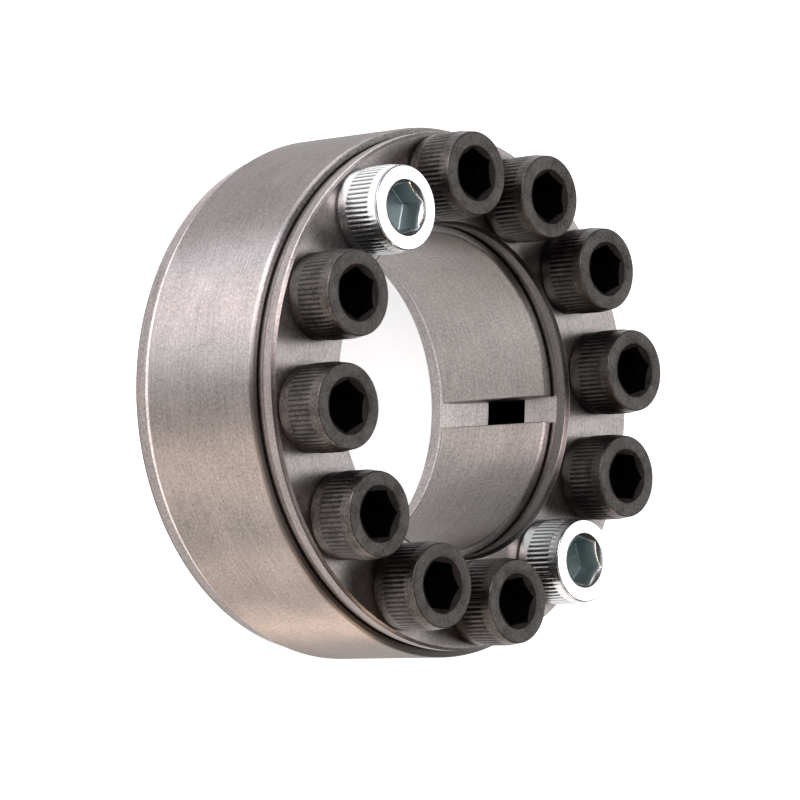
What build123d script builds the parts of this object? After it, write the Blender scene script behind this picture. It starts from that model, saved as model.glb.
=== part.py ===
from build123d import *
import os

# Shaft locking assembly with two tapers: a slit inner ring that grips the shaft, a slit outer
# ring that grips the hub, and two thrust rings that a circle of cap screws draws in between them.
# Millimetres. +Z runs along the ring axis towards the screw heads. The origin is the centre of
# the rear thrust ring's end face, the lowest plane of the assembly.

# Slit rings
bore_d = 36.0               # shaft seat, inside the inner ring
slit_ring_width = 16.5      # both slit rings, end face to end face
inner_wall = 0.9            # inner ring's wall at its end faces
outer_wall = 0.9            # outer ring's wall at its end faces
slit_ring_chamfer = 0.3     # bore edges of the inner ring, outside corners of the outer ring
taper_edge_chamfer = 0.1    # broken edge where each taper meets an end face
slit_width = 3.0            # saw slit through each ring
inner_slit_angle = -41.0    # degrees about +Z, counted from +X
outer_slit_angle = 10.0

# Tapers, shared by the slit rings and the thrust rings
taper_slope = 0.25          # radius per millimetre of length, 14 degrees a side
taper_gap = 0.15            # radial gap between the tapers before the screws are tightened

# Thrust rings
thrust_thickness = 8.1
thrust_standout = 2.7       # from a slit ring's end face out to the thrust ring's end face
rim_width = 1.5             # straight rim between the end face and the taper
rim_outer_chamfer = 0.3
rim_inner_chamfer = 0.4
hole_web = 0.4              # wall left beside a screw hole at the thin end of the taper

# Screws
screw_count = 12
thread_d = 6.0
clearance_hole_play = 0.4   # front ring's holes, over the thread's diameter
thread_play = 0.15          # tapped holes of the rear ring, over the thread's diameter
screw_land_gap = 0.4        # from the screw shanks to the slit rings' middle lands
screw_tip_inset = 3.9       # from the rear face in to the screw tips
thread_tip_chamfer = 0.6
tapped_hole_chamfer = 0.4   # both mouths of each tapped hole
head_d = 9.8
head_height = 6.0
head_collar_d = 9.65        # plain collar under the knurl
head_collar_height = 1.4
head_seat_chamfer = 0.25    # under the collar
head_shoulder_height = 1.2  # plain top of the head, above the knurl
head_shoulder_taper = 0.2   # how much the shoulder draws in towards the top face
head_edge_chamfer = 0.2     # broken edge of the top face
hex_key = 5.0
hex_play = 0.1
hex_depth = 3.2             # from the head's top face to the foot of the flats
hex_drill_depth = 0.7       # drill cone below the flats
hex_mouth_d = 6.3           # countersink round the socket's mouth
hex_mouth_depth = 0.4

# Jack holes: two of the front ring's holes are threaded one size larger, to push the rings apart
jack_hole_every = 6         # every sixth screw of the circle stands over a jack hole
jack_thread_d = 8.0
jack_tap_drill_d = 6.8

# Direction of each screw and the way its socket happens to point, both in degrees about +Z
first_screw_angle = 90.0
socket_turns = (39, 57, 53, 47, 38, 20, 10, 32, 18, 27, 49, 53)

# Derived radii, from the bore outwards
bore_r = bore_d / 2
taper_run = thrust_thickness - thrust_standout
inner_end_r = bore_r + inner_wall
thin_inner_r = inner_end_r + taper_gap + taper_run * taper_slope
clearance_hole_r = (thread_d + clearance_hole_play) / 2
screw_circle_r = thin_inner_r + hole_web + clearance_hole_r
thin_outer_r = screw_circle_r + clearance_hole_r + hole_web
outer_end_r = thin_outer_r + taper_run * taper_slope + taper_gap
outside_r = outer_end_r + outer_wall
rim_inner_r = thin_inner_r - (thrust_thickness - rim_width) * taper_slope
rim_outer_r = thin_outer_r + (thrust_thickness - rim_width) * taper_slope
outer_land_r = screw_circle_r + thread_d / 2 + screw_land_gap
inner_land_r = screw_circle_r - thread_d / 2 - screw_land_gap

# Cutters of through holes run this far past a face
cut_margin = 1.0

# Derived heights
front_face_z = slit_ring_width + 2 * thrust_standout
slit_ring_z = thrust_standout
middle_z = front_face_z / 2
screw_length = front_face_z - screw_tip_inset


def turned(*corners):
    """Solid of revolution about Z; corners are (radius, height) in order round the section."""
    return revolve(Plane.XZ * make_face(Polyline(*corners, close=True)), Axis.Z)


def cylinder_between(radius, low, high):
    """Cylinder about Z from one height to another."""
    return Pos(0, 0, (low + high) / 2) * Cylinder(radius, high - low)


def mouth(radius, depth, z, way):
    """Forty-five degree countersink that opens a hole of this radius at height z."""
    cone = Cone(radius, radius + depth, depth) if way > 0 else Cone(radius + depth, radius, depth)
    return Pos(0, 0, z - way * depth / 2) * cone


def on_screw_circle(index):
    """Place of one screw, counted clockwise as seen from the heads and not turned with it."""
    angle = first_screw_angle - index * 360 / screw_count
    return Rot(0, 0, angle) * Pos(screw_circle_r, 0, 0) * Rot(0, 0, -angle)


def slit(angle):
    """Radial saw cut through a slit ring's wall on one side of the axis."""
    cut = Box(outside_r, slit_width, front_face_z)
    return Rot(0, 0, angle) * Pos(outside_r / 2 + slit_width, 0, middle_z) * cut


def outer_ring():
    """Straight outside for the hub; two tapers inside meet a land that clears the screws."""
    low, high = slit_ring_z, slit_ring_z + slit_ring_width
    middle_r = outer_end_r - slit_ring_width / 2 * taper_slope
    chamfer_r = outer_end_r + taper_edge_chamfer
    edge_r = outer_end_r - taper_edge_chamfer * taper_slope
    body = turned(
        (chamfer_r, low),
        (outside_r - slit_ring_chamfer, low),
        (outside_r, low + slit_ring_chamfer),
        (outside_r, high - slit_ring_chamfer),
        (outside_r - slit_ring_chamfer, high),
        (chamfer_r, high),
        (edge_r, high - taper_edge_chamfer),
        (middle_r, middle_z),
        (edge_r, low + taper_edge_chamfer),
    )
    land = cylinder_between(outer_land_r, low, high)
    return body - land - slit(outer_slit_angle)


def inner_ring():
    """Straight bore for the shaft; two tapers outside meet a land that clears the screws."""
    low, high = slit_ring_z, slit_ring_z + slit_ring_width
    middle_r = inner_end_r + slit_ring_width / 2 * taper_slope
    chamfer_r = inner_end_r - taper_edge_chamfer
    edge_r = inner_end_r + taper_edge_chamfer * taper_slope
    body = turned(
        (bore_r, low + slit_ring_chamfer),
        (bore_r + slit_ring_chamfer, low),
        (chamfer_r, low),
        (edge_r, low + taper_edge_chamfer),
        (middle_r, middle_z),
        (edge_r, high - taper_edge_chamfer),
        (chamfer_r, high),
        (bore_r + slit_ring_chamfer, high),
        (bore_r, high - slit_ring_chamfer),
    )
    land = cylinder_between(inner_land_r, low, high)
    return (body & land) - slit(inner_slit_angle)


def thrust_ring_blank(face_z, way):
    """Double-tapered ring whose end face is at face_z; way is +1 if it points up, -1 if down."""

    def corner(radius, depth):
        return (radius, face_z - way * depth)

    return turned(
        corner(rim_inner_r + rim_inner_chamfer, 0),
        corner(rim_outer_r - rim_outer_chamfer, 0),
        corner(rim_outer_r, rim_outer_chamfer),
        corner(rim_outer_r, rim_width),
        corner(thin_outer_r, thrust_thickness),
        corner(thin_inner_r, thrust_thickness),
        corner(rim_inner_r, rim_width),
        corner(rim_inner_r, rim_inner_chamfer),
    )


def front_thrust_ring():
    """Clearance holes for the screws; the jack holes are drilled and opened for a larger thread."""
    ring = thrust_ring_blank(front_face_z, 1)
    hole = cylinder_between(clearance_hole_r, middle_z, front_face_z + cut_margin)
    jack_r = jack_tap_drill_d / 2
    jack_hole = cylinder_between(jack_r, middle_z, front_face_z + cut_margin)
    jack_hole += mouth(jack_r, jack_thread_d / 2 - jack_r, front_face_z, 1)
    for index in range(screw_count):
        cut = jack_hole if index % jack_hole_every == 0 else hole
        ring -= on_screw_circle(index) * cut
    return ring


def rear_thrust_ring():
    """Tapped through holes that the screws pull on, with both mouths chamfered."""
    ring = thrust_ring_blank(0, -1)
    hole_r = (thread_d + thread_play) / 2
    hole = cylinder_between(hole_r, -cut_margin, middle_z)
    cut = hole + mouth(hole_r, tapped_hole_chamfer, 0, -1)
    cut += mouth(hole_r, tapped_hole_chamfer, thrust_thickness, 1)
    for index in range(screw_count):
        ring -= on_screw_circle(index) * cut
    return ring


def cap_screw(index):
    """Socket head cap screw seated on the front ring's end face."""
    head_r = head_d / 2
    collar_r = head_collar_d / 2
    shank_r = thread_d / 2
    top = head_height
    face_r = head_r - head_shoulder_taper - head_edge_chamfer
    screw = turned(
        (0, -screw_length),
        (shank_r - thread_tip_chamfer, -screw_length),
        (shank_r, -screw_length + thread_tip_chamfer),
        (shank_r, 0),
        (collar_r - head_seat_chamfer, 0),
        (collar_r, head_seat_chamfer),
        (collar_r, head_collar_height),
        (head_r, head_collar_height + head_r - collar_r),
        (head_r, top - head_shoulder_height),
        (face_r + head_edge_chamfer, top - head_edge_chamfer),
        (face_r, top),
        (0, top),
    )
    flats_r = (hex_key + hex_play) / 2
    hexagon = RegularPolygon(flats_r, 6, major_radius=False)
    socket = Pos(0, 0, top - hex_depth) * extrude(hexagon, hex_depth)
    socket += Pos(0, 0, top - hex_mouth_depth / 2) * Cone(flats_r, hex_mouth_d / 2, hex_mouth_depth)
    drill_z = top - hex_depth - hex_drill_depth / 2
    socket += Pos(0, 0, drill_z) * Cone(0, flats_r, hex_drill_depth)
    screw -= Rot(0, 0, socket_turns[index % len(socket_turns)]) * socket
    return Pos(0, 0, front_face_z) * on_screw_circle(index) * screw


parts = {
    "outer_ring": outer_ring(),
    "inner_ring": inner_ring(),
    "front_thrust_ring": front_thrust_ring(),
    "rear_thrust_ring": rear_thrust_ring(),
}
locking_count = 0
jack_count = 0
for index in range(screw_count):
    if index % jack_hole_every == 0:
        jack_count += 1
        parts[f"jack_hole_screw_{jack_count}"] = cap_screw(index)
    else:
        locking_count += 1
        parts[f"locking_screw_{locking_count:02d}"] = cap_screw(index)

os.makedirs("parts", exist_ok=True)
for name, solid in parts.items():
    solid.label = name
    export_step(solid, f"parts/{name}.step")
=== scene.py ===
"""Looks of a shaft locking assembly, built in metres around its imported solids."""
import math

import bmesh
import bpy
import numpy as np
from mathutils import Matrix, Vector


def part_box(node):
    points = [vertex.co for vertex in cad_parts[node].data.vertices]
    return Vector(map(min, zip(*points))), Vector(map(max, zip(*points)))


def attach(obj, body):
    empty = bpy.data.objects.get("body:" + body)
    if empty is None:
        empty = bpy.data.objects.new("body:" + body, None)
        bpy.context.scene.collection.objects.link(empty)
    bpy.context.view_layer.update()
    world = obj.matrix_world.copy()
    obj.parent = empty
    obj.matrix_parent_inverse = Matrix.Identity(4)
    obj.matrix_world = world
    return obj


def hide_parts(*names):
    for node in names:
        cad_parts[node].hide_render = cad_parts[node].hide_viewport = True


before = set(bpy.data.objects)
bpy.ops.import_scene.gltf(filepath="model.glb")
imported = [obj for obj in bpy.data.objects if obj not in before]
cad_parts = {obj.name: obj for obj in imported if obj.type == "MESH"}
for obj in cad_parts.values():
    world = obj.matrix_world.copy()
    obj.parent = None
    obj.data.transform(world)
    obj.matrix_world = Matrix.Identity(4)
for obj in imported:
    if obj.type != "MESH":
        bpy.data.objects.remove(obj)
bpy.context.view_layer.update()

# Outer ring
# One ring of turned and ground steel, sawn through once so that it can spring open in the hub.
# Straight outside, with a small corner chamfer; inside, two tapers run down to a middle land.
mm = 0.001
taper_slope = 0.25
ring_columns = 360
slit_width = 3.0 * mm
slit_edge = 0.09 * mm
outer_slit_angle = math.radians(10)
outer_corner = 0.3 * mm
outer_wall = 0.9 * mm
outer_land_r = 27.4 * mm
crisp = 0.06 * mm
taper_break = 2 * crisp
land_round = 4 * crisp
edge_round = 0.45 * mm
weld_gap = 0.0004 * mm
crease_angle = math.radians(38)
outer_low, outer_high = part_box("outer_ring")
outside_r = outer_high.x


def eased(corners, radii, arc=5, margin=0.03 * mm):
    """Closed section with every corner rounded.

    At a corner P with unit sides u and v, the arc touches the sides at P + u t and P + v t, where
    t = radius / tan(half the angle between them). Its centre lies along u + v, and its points are
    the spherical blend of both touch points. One point more on each side keeps the flats flat.
    """
    corner = np.array(corners, float)
    radius = np.broadcast_to(np.array(radii, float), len(corner))[:, None]
    u = np.roll(corner, 1, 0) - corner
    v = np.roll(corner, -1, 0) - corner
    u /= np.linalg.norm(u, axis=1)[:, None]
    v /= np.linalg.norm(v, axis=1)[:, None]
    half = np.arccos(np.clip((u * v).sum(1), -1, 1))[:, None] / 2
    reach = radius / np.tan(half)
    centre = corner + (u + v) / np.linalg.norm(u + v, axis=1)[:, None] * radius / np.sin(half)
    first = (corner + u * reach - centre)[:, None]
    last = (corner + v * reach - centre)[:, None]
    sweep = (math.pi - 2 * half)[:, :, None]
    share = np.linspace(0, 1, arc + 1)[None, :, None]
    bend = (first * np.sin((1 - share) * sweep) + last * np.sin(share * sweep)) / np.sin(sweep)
    before = (corner + u * (reach + margin))[:, None]
    after = (corner + v * (reach + margin))[:, None]
    return np.concatenate([before, centre[:, None] + bend, after], axis=1).reshape(-1, 2)


def carried_round(section, angles):
    """Grid of points: row j is section point j, column i turns it by angles[j, i] about Z."""
    angles = np.broadcast_to(angles, (len(section), np.shape(angles)[-1]))
    radius, height = section[:, :1], section[:, 1:]
    return np.stack([radius * np.cos(angles), radius * np.sin(angles), height + 0 * angles], axis=2)


def grid_faces(rows, columns, wrap_rows, wrap_columns):
    """Quads of a grid of points numbered row by row; a wrapped way joins its last to its first."""
    index = np.arange(rows * columns).reshape(rows, columns)
    if wrap_rows:
        index = np.concatenate([index, index[:1]], axis=0)
    if wrap_columns:
        index = np.concatenate([index, index[:, :1]], axis=1)
    quads = np.stack([index[:-1, :-1], index[:-1, 1:], index[1:, 1:], index[1:, :-1]], axis=2)
    return quads.reshape(-1, 4)


def make_piece(name, points, faces, finish, node):
    """Mesh from points and faces; doubles are merged, faces point out, sharp edges are crisp."""
    mesh = bpy.data.meshes.new(name)
    mesh.from_pydata(np.reshape(points, (-1, 3)).tolist(), [], [list(face) for face in faces])
    work = bmesh.new()
    work.from_mesh(mesh)
    bmesh.ops.remove_doubles(work, verts=work.verts, dist=weld_gap)
    bmesh.ops.recalc_face_normals(work, faces=work.faces)
    work.to_mesh(mesh)
    work.free()
    mesh.polygons.foreach_set("use_smooth", np.ones(len(mesh.polygons), bool))
    mesh.set_sharp_from_angle(angle=crease_angle)
    mesh.materials.append(finish)
    piece = bpy.data.objects.new(name, mesh)
    bpy.context.scene.collection.objects.link(piece)
    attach(piece, node)
    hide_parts(node)


def slit_ring(section, slit_angle):
    """Section carried round from one wall of the slit to the other.

    The walls are parallel, so at radius r they stand asin(half the width / r) either side of the
    slit's middle. The end columns hold the section drawn in by slit_edge, which eases the edges.
    """
    radius = section[:, 0]
    ahead = np.roll(section, -1, 0) - np.roll(section, 1, 0)
    ahead /= np.linalg.norm(ahead, axis=1)[:, None]
    inward = np.stack([-ahead[:, 1], ahead[:, 0]], axis=1)
    wall = np.arcsin(slit_width / 2 / radius)
    start = wall + slit_edge / radius
    share = np.linspace(0, 1, ring_columns)
    angles = slit_angle + start[:, None] + share[None, :] * (2 * math.pi - 2 * start)[:, None]
    body = carried_round(section, angles)
    shrunk = section + inward * slit_edge
    wall = np.arcsin(slit_width / 2 / shrunk[:, 0])
    caps = carried_round(shrunk, slit_angle + np.stack([wall, -wall], axis=1))
    points = np.concatenate([caps[:, :1], body, caps[:, 1:]], axis=1)
    rows, columns = points.shape[:2]
    faces = grid_faces(rows, columns, True, False).tolist()
    first = (np.arange(rows) * columns).tolist()
    last = (np.arange(rows) * columns + columns - 1).tolist()
    return points, faces + [first, last]


class Value:
    """A shader value; arithmetic and comparisons on it add Math nodes to its finish."""

    def __init__(self, finish, socket):
        self.finish = finish
        self.socket = socket

    def math(self, operation, *others):
        return self.finish.node("ShaderNodeMath", {"operation": operation}, [self, *others])

    def share(self):
        """This value, held between 0 and 1."""
        return self.math("MAXIMUM", 0.0).math("MINIMUM", 1.0)

    def __abs__(self):
        return self.math("ABSOLUTE")

    def __gt__(self, other):
        return self.math("GREATER_THAN", other)

    def __lt__(self, other):
        return self.math("LESS_THAN", other)

    def __add__(self, other):
        return self.math("ADD", other)

    def __radd__(self, other):
        return self.math("ADD", other)

    def __sub__(self, other):
        return self.math("SUBTRACT", other)

    def __rsub__(self, other):
        return self.math("MULTIPLY_ADD", -1.0, other)

    def __mul__(self, other):
        return self.math("MULTIPLY", other)

    def __rmul__(self, other):
        return self.math("MULTIPLY", other)

    def __truediv__(self, other):
        return self.math("DIVIDE", other)

    def __pow__(self, other):
        return self.math("POWER", other)


class Finish:
    """One material: a Principled shader and the nodes that feed it."""

    def __init__(self, name, **constants):
        self.material = bpy.data.materials.new(name)
        self.material.use_nodes = True
        self.nodes = self.material.node_tree.nodes
        self.links = self.material.node_tree.links
        self.shader = self.nodes["Principled BSDF"]
        for socket, value in constants.items():
            self.shader.inputs[socket.replace("_", " ")].default_value = value

    def node(self, kind, settings=None, inputs=(), output=0):
        """Adds a node; inputs are values or Values by position or by socket name."""
        made = self.nodes.new(kind)
        for key, value in (settings or {}).items():
            setattr(made, key, value)
        named = inputs.items() if isinstance(inputs, dict) else enumerate(inputs)
        for key, value in named:
            if isinstance(value, Value):
                self.links.new(value.socket, made.inputs[key])
            else:
                made.inputs[key].default_value = value
        return Value(self, made.outputs[output])

    def place(self):
        """Object coordinates in millimetres as three Values."""
        spot = self.node("ShaderNodeTexCoord", output="Object")
        parts = self.node("ShaderNodeSeparateXYZ", None, [spot]).socket.node
        return [Value(self, parts.outputs[axis]) * (1 / mm) for axis in range(3)]

    def vector(self, x, y, z):
        return self.node("ShaderNodeCombineXYZ", None, [x, y, z])

    def noise(self, vector, scale, detail, roughness):
        """Fractal noise from about 0 to 1."""
        inputs = {"Vector": vector, "Scale": scale, "Detail": detail, "Roughness": roughness}
        return self.node("ShaderNodeTexNoise", {"noise_dimensions": "3D"}, inputs)

    def mix(self, factor, dark, light):
        """Colour between two colours."""
        inputs = {0: factor, 6: dark, 7: light}
        return self.node("ShaderNodeMix", {"data_type": "RGBA"}, inputs, output=2)

    def feed(self, **values):
        """Links Values to the shader's sockets."""
        for key, value in values.items():
            self.links.new(value.socket, self.shader.inputs[key.replace("_", " ")])

    def bump(self, height, depth):
        """Normal from a height of 0 to 1 that stands for depth metres."""
        inputs = {"Height": height, "Distance": depth, "Strength": 1.0}
        self.feed(Normal=self.node("ShaderNodeBump", None, inputs))


# Noises of the steel: scale per millimetre, detail and roughness
line_noise = (6.0, 3.0, 0.6)
speck_noise = (3.4, 3.0, 0.65)
cloud_noise = (0.22, 3.0, 0.55)
grain_noise = (9.0, 2.0, 0.6)
line_stretch = 0.03
quarter_turn = 0.25

# What each noise adds to the tone, the gloss and the relief
line_tone = 0.2
speck_tone = 0.4
cloud_tone = 0.15
grain_tone = 0.25
tone_contrast = 2.3
dark_tone = 0.15
speck_dulling = 0.14
cloud_dulling = 0.06
line_relief = 0.4
grain_relief = 0.5
steel_relief = 0.005 * mm

# Corners with a painted highlight on one side and painted shade on the other
highlight_angle = math.radians(85)
highlight_focus = 8.0
highlight_most = 0.85
corner_lightening = 0.04
corner_core = 1.3
corner_raggedness = 2.0
shade_angle = math.radians(205)
corner_shade = 0.6
# Colour that the painted shade and the darkening on the ring steels go towards
darkening_colour = (0.012, 0.010, 0.009, 1)
highlight_steel = (0.88, 0.83, 0.81, 1)


def from_axis(x, y):
    """Length of the flat vector x, y: for a place on the part, its distance from the axis."""
    return (x * x + y * y) ** 0.5


def from_middle(z):
    """Height above or below the middle of the slit rings, in millimetres."""
    return abs(z - outer_mid_z / mm)


def side_share(x, y, angle):
    """1 on the side of the ring at this angle about Z, falling to 0 a quarter turn away."""
    towards = x * math.cos(angle) + y * math.sin(angle)
    return (towards / from_axis(x, y)).math("MAXIMUM", 0.0)


def turned_steel(name, light, gloss, spread, darkening, corner, reach):
    """Fine-turned, tumbled and lightly oiled steel: satin, with faint turning lines and specks.

    The turning lines run round the axis, so its gloss is spread along the axis: the anisotropy's
    default tangent runs round Z, and a quarter turn lays the wide way of the gloss across it.
    The darkening map gives, for a place in millimetres, the share, 0 to 1, of painted shade and
    darkening there. The turned corners, at height corner either side of the middle, are changed as
    far
    as reach: they get a painted highlight on the side at the highlight angle and painted shade on
    the side at the shade angle.
    """
    finish = Finish(name, Metallic=1.0, Anisotropic=spread, Anisotropic_Rotation=quarter_turn)
    x, y, z = finish.place()
    spot = finish.vector(x, y, z)
    round_axis = finish.vector(x * line_stretch, y * line_stretch, z + from_axis(x, y))
    lines = finish.noise(round_axis, *line_noise)
    specks = finish.noise(spot, *speck_noise)
    cloud = finish.noise(spot, *cloud_noise)
    grain = finish.noise(spot, *grain_noise)
    tone = lines * line_tone + specks * speck_tone + cloud * cloud_tone + grain * grain_tone
    tone = (tone - 0.5) * tone_contrast + 0.5
    dark = [dark_tone * channel for channel in light]
    steel = finish.mix(tone, (*dark, 1), (*light, 1))
    ragged = (specks - 0.5) * corner_raggedness
    # The band along each turned corner, where a painted highlight and painted shade are laid
    painted_corner = (corner_core - abs(from_middle(z) - corner) / reach + ragged).share()
    # Painted shade: the darkening map plus darker corners on one side of the ring
    dark_share = darkening(x, y, z) + painted_corner * side_share(x, y, shade_angle) * corner_shade
    # Painted highlight: corners lighter on one side of the ring, and faintly lighter all round
    highlight = painted_corner * (side_share(x, y, highlight_angle) ** highlight_focus * highlight_most + corner_lightening)
    finish.feed(
        Base_Color=finish.mix(highlight, finish.mix(dark_share, steel, darkening_colour), highlight_steel),
        Roughness=specks * speck_dulling + cloud * cloud_dulling + gloss,
    )
    finish.bump(lines * line_relief + specks + grain * grain_relief, steel_relief)
    return finish.material


# Painted shade on the slit rings: where it lies, in millimetres, and how much of it
land_reach_up = 3.2
land_circle_r = 24.0
land_reach_out = 3.6
end_face_from = 8.1
end_face_shade = 0.2
inner_ring_within = 19.0
bore_shade_angle = math.radians(270)
bore_shade_focus = 3.0
bore_shade = 0.45
rear_edge_from = 7.95
rear_edge_shade = 0.5


def slit_ring_shade(x, y, z):
    """Painted shade: black middle lands, which only the slits show, and brown end faces.

    The bore gets painted shade on its low side and along its rear edge.
    """
    radius = from_axis(x, y)
    side = from_middle(z)
    land = (side < land_reach_up) * (abs(radius - land_circle_r) < land_reach_out)
    bore = side_share(x, y, bore_shade_angle) ** bore_shade_focus * bore_shade
    rear_edge = (z < outer_mid_z / mm - rear_edge_from) * rear_edge_shade
    inner = (radius < inner_ring_within) * (bore + rear_edge)
    return land + (side > end_face_from) * end_face_shade + inner


outer_end_r = outside_r - outer_wall
outer_mid_z = (outer_low.z + outer_high.z) / 2
outer_land_half = (outer_high.z - outer_mid_z) - (outer_end_r - outer_land_r) / taper_slope
outer_section = eased(
    [
        (outside_r - outer_corner, outer_low.z),
        (outside_r, outer_low.z + outer_corner),
        (outside_r, outer_high.z - outer_corner),
        (outside_r - outer_corner, outer_high.z),
        (outer_end_r, outer_high.z),
        (outer_land_r, outer_mid_z + outer_land_half),
        (outer_land_r, outer_mid_z - outer_land_half),
        (outer_end_r, outer_low.z),
    ],
    [crisp, edge_round, edge_round, crisp, taper_break, land_round, land_round, taper_break],
)
points, faces = slit_ring(outer_section, outer_slit_angle)
# Painted shade: this copy of the ring steel is drawn much darker than the other rings'
outer_steel = turned_steel(
    "outer_ring_steel",
    light=(0.395, 0.372, 0.361),
    gloss=0.36,
    spread=0.9,
    darkening=slit_ring_shade,
    corner=8.08,
    reach=0.2,
)
make_piece("slit_outer_ring", points, faces, outer_steel, "outer_ring")

# Inner ring
# The outer ring's partner, of the same steel: a straight bore for the shaft, two tapers outside
# and a middle land that clears the screws. Its slit is the one seen through the bore.
inner_slit_angle = math.radians(-41)
inner_corner = 0.35 * mm
inner_wall = 0.9 * mm
inner_land_r = 20.6 * mm
bore_r = 18.0 * mm
inner_low, inner_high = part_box("inner_ring")
inner_end_r = bore_r + inner_wall
inner_mid_z = (inner_low.z + inner_high.z) / 2
inner_land_half = (inner_high.z - inner_mid_z) - (inner_land_r - inner_end_r) / taper_slope
inner_section = eased(
    [
        (bore_r, inner_low.z),
        (inner_end_r, inner_low.z),
        (inner_land_r, inner_mid_z - inner_land_half),
        (inner_land_r, inner_mid_z + inner_land_half),
        (inner_end_r, inner_high.z),
        (bore_r, inner_high.z),
    ],
    [inner_corner, taper_break, land_round, land_round, taper_break, inner_corner],
)
points, faces = slit_ring(inner_section, inner_slit_angle)
# Painted light: this copy of the ring steel is drawn more than twice as light as the outer ring's,
# which brightens the bore
inner_steel = turned_steel(
    "inner_ring_steel",
    light=(0.93, 0.88, 0.85),
    gloss=0.34,
    spread=0.9,
    darkening=slit_ring_shade,
    corner=7.95,
    reach=0.1,
)
make_piece("slit_inner_ring", points, faces, inner_steel, "inner_ring")

# Front thrust ring
# A solid steel ring, tapered inside and outside, that the screw heads press into the slit rings.
# Twelve plain holes let the screws through; two of them are drilled wider, for jack screws.
screw_count = 12
screw_circle_r = 24.0 * mm
rim_width = 1.5 * mm
rim_outer_corner = 0.3 * mm
rim_inner_corner = 0.4 * mm
rim_inner_r = 18.75 * mm
clearance_hole_r = 3.2 * mm
jack_hole_r = 3.4 * mm
jack_mouth = 0.6 * mm
plain_mouth = 0.2 * mm
jack_every = 6
arc_steps = 30
line_steps = 8
side_corners = 4
screw_angles = math.pi / 2 - np.arange(screw_count) * 2 * math.pi / screw_count
front_low, front_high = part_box("front_thrust_ring")
rim_outer_r = front_high.x


def thrust_section(face_z, thin_z):
    """Eased section of a thrust ring, from the inside edge of its end face round to its bore."""
    way = math.copysign(1, face_z - thin_z)
    run = abs(face_z - thin_z) - rim_width
    return eased(
        [
            (rim_inner_r + rim_inner_corner, face_z),
            (rim_outer_r - rim_outer_corner, face_z),
            (rim_outer_r, face_z - way * rim_outer_corner),
            (rim_outer_r, face_z - way * rim_width),
            (rim_outer_r - run * taper_slope, thin_z),
            (rim_inner_r + run * taper_slope, thin_z),
            (rim_inner_r, face_z - way * rim_width),
            (rim_inner_r, face_z - way * rim_inner_corner),
        ],
        crisp,
    )


def sector_border(inside, outside):
    """Border of one hole's sector of a ring face, counterclockwise from its outer arc's start."""
    half = math.pi / screw_count
    arc = np.linspace(-half, half, arc_steps, endpoint=False)
    down = np.linspace(outside, inside, line_steps, endpoint=False)
    up = np.linspace(inside, outside, line_steps, endpoint=False)
    radius = np.concatenate([arc * 0 + outside, down, arc * 0 + inside, up])
    angle = np.concatenate([arc, down * 0 + half, -arc, up * 0 - half])
    return np.stack([radius * np.cos(angle), radius * np.sin(angle)], axis=1)


def pierced_ring(face_z, thin_z, hole_rows):
    """Thrust ring with a hole in each sector.

    Both faces are grids between the border of a sector and a circle round its hole; the sides are
    the section carried round, with columns that meet those borders. The section's second to fifth
    corners make the outer side, and the other four the inner side. hole_rows(sector, angles)
    gives the hole's wall as rows of (radius, height) arrays, from the end face to the thin face.
    """
    section = thrust_section(face_z, thin_z)
    step = len(section) // (2 * side_corners)
    thin_row = step + side_corners * step
    around = np.arange(screw_count * arc_steps) * 2 * math.pi / (screw_count * arc_steps)
    around = around + screw_angles[0] - math.pi / screw_count
    outer_side = carried_round(section[step:thin_row], around[None, :])
    inner_side = carried_round(np.roll(section, -thin_row, 0)[:side_corners * step], around[None, :])
    face_border = sector_border(section[step - 1, 0], section[step, 0])
    thin_border = sector_border(section[thin_row, 0], section[thin_row - 1, 0])
    centre = np.array([screw_circle_r, 0])
    toward = face_border - centre
    angles = np.arctan2(toward[:, 1], toward[:, 0])
    points = [outer_side.reshape(-1, 3), inner_side.reshape(-1, 3)]
    faces = [grid_faces(*outer_side.shape[:2], False, True)]
    faces.append(grid_faces(*inner_side.shape[:2], False, True) + outer_side.shape[0] * len(around))
    total = (outer_side.shape[0] + inner_side.shape[0]) * len(around)
    for sector, turn in enumerate(screw_angles):
        wall = [(face_border, face_z)]
        for radius, height in hole_rows(sector, angles + turn):
            circle = np.stack([np.cos(angles), np.sin(angles)], axis=1) * np.reshape(radius, (-1, 1))
            wall.append((centre + circle, height))
        wall.append((thin_border, thin_z))
        grid = np.stack([np.column_stack([spot, spot[:, 0] * 0 + z]) for spot, z in wall])
        cos, sin = math.cos(turn), math.sin(turn)
        spin = np.array([[cos, sin, 0], [-sin, cos, 0], [0, 0, 1]])
        points.append(grid.reshape(-1, 3) @ spin)
        faces.append(grid_faces(*grid.shape[:2], False, True) + total)
        total += grid.shape[0] * grid.shape[1]
    return np.concatenate(points), np.concatenate(faces)


def from_screw(x, y):
    """Distance in millimetres from the nearest screw's axis.

    The screws stand evenly round Z and one lies on the Y axis, so the angle about Z is wrapped
    into one screw's sector. There that screw stands on the X axis, at the screw circle's radius.
    """
    half = math.pi / screw_count
    angle = y.math("ARCTAN2", x).math("WRAP", half, -half)
    circle = from_axis(x, y)
    across = circle * angle.math("SINE")
    along = circle * angle.math("COSINE") - screw_circle_r / mm
    return from_axis(across, along)


# Painted shade, painted highlight and a darker end face on the thrust rings: where they start, in
# millimetres from the middle, and how much
seam_from = 8.2
seam_to = 9.0
seam_fade = 0.6
rim_from = 9.2
rim_shade = 0.5
rim_inside_shade = 0.12
chamfer_from = 10.6
chamfer_shade = 0.68
chamfer_inside_shade = 0.15
chamfer_highlight = 0.6
chamfer_highlight_focus = 6.0
face_from = 10.92
face_darkening = 0.34
head_shade_reach = 5.6
head_shade_fade = 0.3


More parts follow.
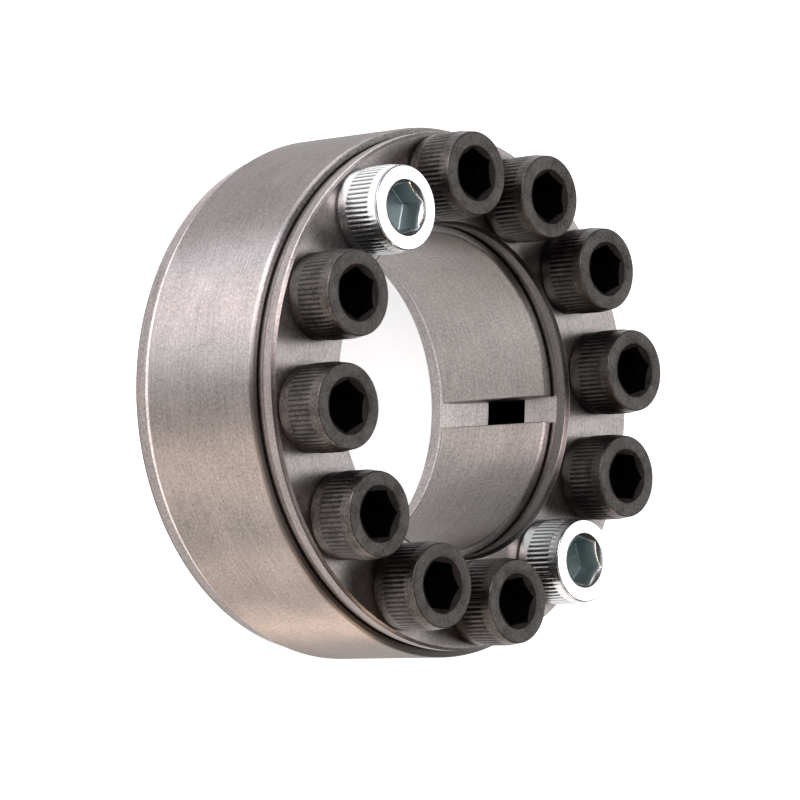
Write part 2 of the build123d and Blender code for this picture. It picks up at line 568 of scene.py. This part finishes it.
def seam_shade(side):
    """Painted shade in the seam beside a slit ring, gone a little further out."""
    return (side > seam_from) * ((seam_to - side) / seam_fade).share()


def outside_share(x, y):
    """1 outside the circle of screws and 0 inside it."""
    return from_axis(x, y) > screw_circle_r / mm


def thrust_ring_shade(x, y, z):
    """Painted shade in the seams, on the rims and chamfers and round each screw head; the end face
    is darker.

    The inside seam's painted shade is left out in line with the inner ring's slit. On the side at
    the highlight angle the chamfers' shade is thinner, a painted highlight.
    """
    side = from_middle(z)
    outside = outside_share(x, y)
    inside = 1.0 - outside
    from_slit = abs(x * math.sin(inner_slit_angle) - y * math.cos(inner_slit_angle))
    # Painted shade in the seam, left out in line with the inner ring's slit
    seam = seam_shade(side) * (from_slit > slit_width / 2 / mm).math("MAXIMUM", outside)
    past_rim = side > chamfer_from
    rim = (side > rim_from) * (1.0 - past_rim) * (inside * rim_inside_shade + rim_shade)
    # Painted highlight: less shade on the chamfers on one side of the ring
    painted_corner = side_share(x, y, highlight_angle) ** chamfer_highlight_focus * chamfer_highlight
    chamfer = past_rim * (inside * chamfer_inside_shade + chamfer_shade - painted_corner)
    on_face = side > face_from
    # Painted shade round each screw head, then a darker end face all over
    near_head = ((head_shade_reach - from_screw(x, y)) * head_shade_fade).math("MAXIMUM", 0.0)
    return seam + rim + chamfer * (1.0 - on_face) + on_face * (near_head + face_darkening)


def plain_hole(sector, angles):
    """Drilled hole with a broken edge at both ends, wider at the mouth of a jack hole."""
    jack = sector % jack_every == 0
    radius = jack_hole_r if jack else clearance_hole_r
    mouth = jack_mouth if jack else plain_mouth
    top, thin = front_high.z, front_low.z
    return [
        (radius + mouth, top),
        (radius, top - mouth),
        (radius, thin + slit_edge),
        (radius + slit_edge, thin),
    ]


points, faces = pierced_ring(front_high.z, front_low.z, plain_hole)
front_steel = turned_steel(
    "front_ring_steel",
    light=(0.73, 0.675, 0.66),
    gloss=0.24,
    spread=0.6,
    darkening=thrust_ring_shade,
    corner=10.6,
    reach=0.1,
)
make_piece("tapered_front_ring", points, faces, front_steel, "front_thrust_ring")

# Rear thrust ring
# The front ring's mirror image, with the same tapers. Its twelve holes are tapped right through,
# and the screws pull it forward by their threads.
pitch = 1.0 * mm
thread_major_r = 2.96 * mm
thread_depth = 0.58 * mm
crest_share = 0.125
flank_share = 0.625
tapped_minor_r = 2.5 * mm
tapped_play = 0.1 * mm
tapped_mouth_r = 3.475 * mm
rows_per_turn = 10
thin_face_within = 2.9
rear_rim_shade = 0.6
rear_bore_shade = 0.35
rear_low, rear_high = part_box("rear_thrust_ring")


def thread_radius(angles, height):
    """Radius of the screws' outside thread at an angle and a height, both in the row frame.

    Across one pitch the flat crest takes an eighth and the flat root a quarter; the flanks
    between them are straight. The helix rises one pitch each turn counterclockwise.
    """
    across = np.mod(height / pitch - angles / (2 * math.pi), 1)
    from_crest = np.abs(2 * across - 1)
    return thread_major_r - thread_depth * np.clip((from_crest - crest_share) / flank_share, 0, 1)


def tapped_hole(sector, angles):
    """Tapped wall: the screw's thread plus a little play, bored out to the minor diameter."""
    rows = []
    thickness = rear_high.z - rear_low.z
    count = round(thickness / pitch * rows_per_turn)
    for height in np.linspace(rear_low.z, rear_high.z, count + 1):
        thread = np.maximum(thread_radius(angles, height) + tapped_play, tapped_minor_r)
        inset = min(height - rear_low.z, rear_high.z - height)
        countersink = max(tapped_mouth_r - inset, 0)
        rows.append((np.maximum(thread, countersink), height))
    return rows


def rear_ring_shade(x, y, z):
    """Painted shade: the same dark seam outside, a brown rim, a little in the bore and a black thin
    face.
    """
    side = from_middle(z)
    outside = outside_share(x, y)
    rim = side > rim_from
    bore = (1.0 - outside) * rim * rear_bore_shade
    return outside * (seam_shade(side) + rim * rear_rim_shade) + bore + (side < thin_face_within)


points, faces = pierced_ring(rear_low.z, rear_high.z, tapped_hole)
# Painted light: drawn lighter than the front ring's copy of the same steel
rear_steel = turned_steel(
    "rear_ring_steel",
    light=(0.95, 0.89, 0.87),
    gloss=0.14,
    spread=0.4,
    darkening=rear_ring_shade,
    corner=10.6,
    reach=0.1,
)
make_piece("tapered_rear_ring", points, faces, rear_steel, "rear_thrust_ring")

# Cap screws
# Socket head cap screws, cold headed with a hexagon socket and a straight knurl, then thread
# rolled. Ten are black oxide; the two over the jack holes are bright zinc, so they can be found.
knurl_teeth = 54
tooth_columns = 6
tooth_crest = 0.25
head_height = 6.0 * mm
head_r = 4.9 * mm
collar_r = 4.825 * mm
collar_height = 1.4 * mm
seat_corner = 0.25 * mm
shoulder_height = 1.2 * mm
shoulder_inset = 0.06 * mm
face_inset = 0.2 * mm
face_round = 0.15 * mm
knurl_depth = 0.15 * mm
knurl_run_out = 0.25 * mm
hexagon_r = 2.55 * mm
socket_depth = 3.2 * mm
drill_depth = 0.7 * mm
mouth_r = 3.15 * mm
mouth_depth = 0.4 * mm
socket_turns = np.radians([39, 57, 53, 47, 38, 20, 10, 32, 18, 27, 49, 53])
shank_columns = 54
screw_length = 18.0 * mm
neck_length = 1.2 * mm
tip_corner = 0.6 * mm
seat_z = front_high.z
head_columns = knurl_teeth * tooth_columns
round_angles = np.radians([90, 75, 60, 45, 30, 15, 0])
socket_floor_r = 0.97 * hexagon_r
socket_floor_z = head_height - socket_depth
mouth_slope = mouth_depth / (mouth_r - hexagon_r)


def screw_head():
    """Grid of points of the head, from the floor of its socket over the top down to its seat.

    Each row is a radius over the angle: the hexagon's is its inscribed radius / cos(angle from the
    nearest flat's middle), and the knurl's drops into a groove between every two teeth.
    """
    angle = np.arange(head_columns) * 2 * math.pi / head_columns
    from_flat = np.mod(angle, math.pi / 3) - math.pi / 6
    hexagon = hexagon_r / np.cos(from_flat)
    across_tooth = np.abs(2 * np.mod(angle * knurl_teeth / (2 * math.pi), 1) - 1)
    groove = np.clip((across_tooth - tooth_crest) / (1 - tooth_crest), 0, 1)
    rim = head_height - (mouth_r - hexagon) * mouth_slope
    face_r = head_r - face_inset - face_round
    flat = 0 * angle
    rows = [
        (flat + socket_floor_r, flat + socket_floor_z),
        (hexagon - slit_edge, flat + socket_floor_z),
        (hexagon, flat + socket_floor_z + slit_edge),
        (hexagon, rim - crisp),
        (hexagon + crisp, rim + crisp * mouth_slope),
        (flat + mouth_r - crisp, flat + head_height - crisp * mouth_slope),
        (flat + mouth_r + crisp, flat + head_height),
        (flat + face_r - crisp, flat + head_height),
    ]
    for bend in round_angles:
        rows.append((
            flat + face_r + face_round * math.cos(bend),
            flat + head_height - face_round + face_round * math.sin(bend),
        ))
    knurl_top = head_height - shoulder_height
    rows += [
        (flat + head_r - shoulder_inset, flat + knurl_top),
        (head_r - groove * knurl_depth, flat + knurl_top - knurl_run_out),
        (head_r - groove * knurl_depth, flat + collar_height + knurl_run_out),
        (flat + collar_r, flat + collar_height),
        (flat + collar_r, flat + collar_height - crisp),
        (flat + collar_r, flat + seat_corner),
        (flat + collar_r - seat_corner, flat),
        (flat + collar_r - 2 * seat_corner, flat),
    ]
    radius = np.stack([row[0] for row in rows])
    height = np.stack([row[1] for row in rows])
    return np.stack([radius * np.cos(angle), radius * np.sin(angle), height], axis=2)


def screw_shank(turn):
    """Grid of points of the neck and the thread, from the head's seat down to the tip.

    The radius comes from thread_radius, and the thread fades in over one pitch below the neck.
    """
    around = np.arange(shank_columns) * 2 * math.pi / shank_columns
    flat = 0 * around
    rows = [
        (flat + thread_major_r + 2 * seat_corner, 0),
        (flat + thread_major_r, 0),
        (flat + thread_major_r, -neck_length),
    ]
    turns = (screw_length - neck_length) / pitch
    for depth in np.linspace(neck_length, screw_length, round(turns * rows_per_turn))[1:]:
        thread = thread_radius(around + turn, seat_z - depth)
        fade = min((depth - neck_length) / pitch, 1)
        thread = thread_major_r + (thread - thread_major_r) * fade
        tip = thread_major_r - tip_corner + (screw_length - depth)
        rows.append((np.minimum(thread, tip), -depth))
    return np.stack([
        np.column_stack([row * np.cos(around), row * np.sin(around), flat + z]) for row, z in rows
    ])


def cap_screw_mesh(turn, place):
    """Points and faces of one screw, turned about its axis; its seat's centre is at place.

    The head and the shank are grids with a pole at each end, the drill point and the tip. Between
    them the seat joins the fine columns of the head to the coarser ones of the shank.
    """
    head = screw_head()
    shank = screw_shank(turn)
    points = np.concatenate([
        head.reshape(-1, 3),
        shank.reshape(-1, 3),
        [[0, 0, socket_floor_z - drill_depth], [0, 0, -screw_length]],
    ])
    shank_start = head.shape[0] * head_columns
    faces = grid_faces(*head.shape[:2], False, True).tolist()
    faces += (grid_faces(*shank.shape[:2], False, True) + shank_start).tolist()
    drill_pole = len(points) - 2
    tip_pole = len(points) - 1
    column = np.arange(head_columns)
    after = (column + 1) % head_columns
    faces += np.column_stack([column * 0 + drill_pole, column, after]).tolist()
    column = np.arange(shank_columns)
    after = (column + 1) % shank_columns
    tip_row = shank_start + (shank.shape[0] - 1) * shank_columns
    faces += np.column_stack([column * 0 + tip_pole, tip_row + after, tip_row + column]).tolist()
    last_row = (head.shape[0] - 1) * head_columns
    per = head_columns // shank_columns
    fine = (column[:, None] * per + np.arange(per + 1)[None, :]) % head_columns + last_row
    faces += np.column_stack([fine, shank_start + after, shank_start + column]).tolist()
    cos, sin = math.cos(turn), math.sin(turn)
    return points @ np.array([[cos, sin, 0], [-sin, cos, 0], [0, 0, 1]]) + place, faces


# Where the screws' finishes change: millimetres from a screw's axis and above its seat
seat_margin = 0.1
mouth_margin = 0.03
knurl_from = 1.5
knurl_to = 4.75
knurl_outside = 4.5
groove_from = 0.02
groove_fade = 0.11


def socket_share(radius, height):
    """1 on the walls and floor of a screw's socket and 0 elsewhere, from millimetres."""
    rim = radius * mouth_slope + (head_height / mm - mouth_r / mm * mouth_slope)
    below = (rim - height) > crisp / mm
    return below * (height > seat_margin) * (radius < mouth_r / mm)


def groove_share(radius, height):
    """0 on the knurl's crests, rising to 1 at the bottom of its grooves."""
    deep = (((head_r / mm - groove_from) - radius) / groove_fade).share()
    return deep * (radius > knurl_outside) * (height > knurl_from) * (height < knurl_to)


# Black oxide: noises as scale, detail and roughness, then tones, painted shade, gloss and relief
oxide_speck_noise = (4.0, 3.0, 0.6)
oxide_cloud_noise = (0.7, 2.0, 0.5)
oxide_speck_tone = 0.6
oxide_cloud_tone = 0.4
oxide_contrast = 3.0
oxide_dark = (0.024, 0.022, 0.021, 1)
oxide_light = (0.092, 0.085, 0.080, 1)
shade_black = (0.001, 0.001, 0.001, 1)
socket_shade = 0.45
hollow_shade = 0.5
groove_shade = 0.65
oxide_gloss = 0.28
oxide_speck_dulling = 0.24
hollow_dulling = 0.4
oxide_relief = 0.008 * mm


def black_oxide():
    """Black oxide over a headed and rolled surface: dark and oily, lit by its gloss alone."""
    finish = Finish("black_oxide_steel", Metallic=1.0)
    x, y, z = finish.place()
    radius = from_screw(x, y)
    height = z - seat_z / mm
    hollow = (radius < mouth_r / mm - mouth_margin) * (height > seat_margin)
    spot = finish.vector(x, y, z)
    specks = finish.noise(spot, *oxide_speck_noise)
    cloud = finish.noise(spot, *oxide_cloud_noise)
    tone = (specks * oxide_speck_tone + cloud * oxide_cloud_tone - 0.5) * oxide_contrast + 0.5
    # Painted shade: the socket, the mouth and the knurl's grooves are drawn towards black
    shaded = socket_share(radius, height) * socket_shade + hollow * hollow_shade
    shaded = shaded + groove_share(radius, height) * groove_shade
    finish.feed(
        Base_Color=finish.mix(shaded, finish.mix(tone, oxide_dark, oxide_light), shade_black),
        Roughness=specks * oxide_speck_dulling + oxide_gloss + hollow * hollow_dulling,
    )
    finish.bump(specks, oxide_relief)
    return finish.material


# Bright zinc: its noise, the bounds of the top face and of its edge, tones, gloss and relief
zinc_speck_noise = (2.7, 3.0, 0.6)
face_margin = 0.03
edge_outside = 4.58
edge_from = 5.7
zinc_least_clean = 0.7
zinc_speck_clean = 0.3
zinc_grain = (0.27, 0.33, 0.34, 1)
zinc_side = (0.62, 0.64, 0.65, 1)
zinc_edge = (0.25, 0.26, 0.27, 1)
zinc_face = (0.86, 0.87, 0.88, 1)
zinc_socket = (0.35, 0.42, 0.43, 1)
zinc_groove = (0.02, 0.022, 0.024, 1)
groove_darkening = 0.9
zinc_gloss = 0.20
zinc_speck_dulling = 0.12
face_polish = 0.06
socket_dulling = 0.19
zinc_relief = 0.002 * mm


def bright_zinc():
    """Bright zinc plate: a clean white metal with a faint grain, dull and greenish in the socket."""
    finish = Finish("zinc_plated_steel", Metallic=1.0)
    x, y, z = finish.place()
    radius = from_screw(x, y)
    height = z - seat_z / mm
    inside = socket_share(radius, height)
    specks = finish.noise(finish.vector(x, y, z), *zinc_speck_noise)
    face = height > head_height / mm - face_margin
    edge = (radius > edge_outside) * (height > edge_from)
    side = finish.mix(edge, zinc_side, zinc_edge)
    skin = finish.mix(face * (1.0 - edge), side, zinc_face)
    plate = finish.mix(specks * zinc_speck_clean + zinc_least_clean, zinc_grain, skin)
    # Painted shade with a greenish tint: the socket's plate is drawn darker and greenish
    socket_shaded_plate = finish.mix(inside, plate, zinc_socket)
    gloss = specks * zinc_speck_dulling + zinc_gloss - face * face_polish + inside * socket_dulling
    finish.feed(
        # Painted shade: the knurl's grooves are drawn almost black
        Base_Color=finish.mix(groove_share(radius, height) * groove_darkening, socket_shaded_plate, zinc_groove),
        Roughness=gloss,
    )
    finish.bump(specks, zinc_relief)
    return finish.material


oxide = black_oxide()
zinc = bright_zinc()
jack_number = 0
locking_number = 0
for index, (angle, turn) in enumerate(zip(screw_angles, socket_turns)):
    if index % jack_every == 0:
        jack_number += 1
        node, finish, slot = f"jack_hole_screw_{jack_number}", zinc, "zinc_plated_steel"
    else:
        locking_number += 1
        node, finish, slot = f"locking_screw_{locking_number:02d}", oxide, "black_oxide_steel"
    place = (screw_circle_r * math.cos(angle), screw_circle_r * math.sin(angle), seat_z)
    points, faces = cap_screw_mesh(turn, place)
    make_piece(f"cap_screw_{index + 1:02d}", points, faces, finish, node)

# Floor, light and camera
# A pale sheet under the assembly, soft panels round it, and the photograph's own point of view:
# from above and beside, with the camera rolled so that the ring's axis points to the right.
floor_size = 6.0
floor_half = floor_size / 2
floor_tone = 0.9
floor_glow = 0.72
backdrop_glow = 0.72
room_glow = 0.02
middle_height = 0.02
camera_near = 0.01
camera_place = (-0.28892, 0.18001, 0.33370)
camera_aim = (-0.00032, -0.00051, 0.01288)
camera_roll = math.radians(-85.866)
camera_lens = 184.573
sensor = 36.0
white = (1.0, 1.0, 1.0)
cool = (0.86, 0.90, 1.0)
pink = (1.0, 0.88, 0.88)
amber = (1.0, 0.74, 0.57)

# Azimuth and elevation in degrees, distance, width, height, watts, colour. The seven low ones
# streak the walls of the rings from the floor's edge, and the next three light the bore, the
# corners and the walls. One more is mirrored by the screws' faces, and the last hangs overhead.
panels = (
    (95, 6, 0.5, 0.15, 0.08, 1.11, cool),
    (110, 6, 0.5, 0.15, 0.08, 1.05, pink),
    (125, 6, 0.5, 0.15, 0.08, 0.91, cool),
    (165, 6, 0.5, 0.15, 0.08, 0.61, amber),
    (180, 6, 0.5, 0.15, 0.08, 0.50, amber),
    (210, 6, 0.5, 0.15, 0.08, 0.81, amber),
    (240, 6, 0.5, 0.15, 0.08, 1.50, amber),
    (108, 42, 0.6, 0.25, 0.4, 2.15, pink),
    (54, 25, 0.6, 0.3, 0.25, 0.4, white),
    (185, 28, 0.6, 0.4, 0.2, 0.8, white),
    (-28.4, 43.6, 0.6, 0.45, 0.45, 1.31, white),
    (0, 88, 0.7, 0.4, 0.4, 0.45, white),
)


def panel(name, place, size, power, colour):
    """Rectangular soft light that faces the middle of the assembly."""
    light = bpy.data.lights.new(name, "AREA")
    light.shape = "RECTANGLE"
    light.size, light.size_y = size
    light.energy = power
    light.color = colour
    lamp = bpy.data.objects.new(name, light)
    lamp.location = place
    aim = -np.array(place) + [0, 0, middle_height]
    lamp.rotation_mode = "QUATERNION"
    lamp.rotation_quaternion = Vector(aim).to_track_quat("-Z", "Y")
    bpy.context.scene.collection.objects.link(lamp)


floor_mesh = bpy.data.meshes.new("floor")
floor_corners = [
    (-floor_half, -floor_half, 0),
    (floor_half, -floor_half, 0),
    (floor_half, floor_half, 0),
    (-floor_half, floor_half, 0),
]
floor_mesh.from_pydata(floor_corners, [], [(0, 1, 2, 3)])
floor = bpy.data.objects.new("floor", floor_mesh)
floor_finish = Finish(
    "pale_floor",
    Base_Color=(floor_tone, floor_tone, floor_tone, 1),
    Roughness=0.9,
    Specular_IOR_Level=0.1,
    Emission_Color=(*white, 1),
    Emission_Strength=floor_glow,
)
floor_mesh.materials.append(floor_finish.material)
bpy.context.scene.collection.objects.link(floor)

for number, (azimuth, elevation, far, width, height, power, colour) in enumerate(panels):
    flat = far * math.cos(math.radians(elevation))
    place = (
        flat * math.cos(math.radians(azimuth)),
        flat * math.sin(math.radians(azimuth)),
        far * math.sin(math.radians(elevation)),
    )
    panel(f"panel_{number}", place, (width, height), power, colour)

# The camera sees a backdrop as bright as the floor's glow; the steel sees an almost dark room
world = bpy.data.worlds.new("studio")
world.use_nodes = True
world_nodes = world.node_tree.nodes
world_links = world.node_tree.links
backdrop = world_nodes["Background"]
backdrop.inputs["Color"].default_value = (*white, 1)
seen = world_nodes.new("ShaderNodeLightPath")
strength = world_nodes.new("ShaderNodeMath")
strength.operation = "MULTIPLY_ADD"
strength.inputs[1].default_value = backdrop_glow
strength.inputs[2].default_value = room_glow
world_links.new(seen.outputs["Is Camera Ray"], strength.inputs[0])
world_links.new(strength.outputs[0], backdrop.inputs["Strength"])
bpy.context.scene.world = world
bpy.context.scene.view_settings.view_transform = "Standard"

camera_data = bpy.data.cameras.new("camera")
camera_data.sensor_width = sensor
camera_data.lens = camera_lens
camera_data.clip_start = camera_near
camera = bpy.data.objects.new("camera", camera_data)
look = (Vector(camera_aim) - Vector(camera_place)).normalized()
right = look.cross(Vector((0, 0, 1))).normalized()
upright = right.cross(look)
up = upright * math.cos(camera_roll) + look.cross(upright) * math.sin(camera_roll)
side = look.cross(up)
camera.matrix_world = Matrix((
    (side.x, up.x, -look.x, camera_place[0]),
    (side.y, up.y, -look.y, camera_place[1]),
    (side.z, up.z, -look.z, camera_place[2]),
    (0, 0, 0, 1),
))
bpy.context.scene.collection.objects.link(camera)
bpy.context.scene.camera = camera
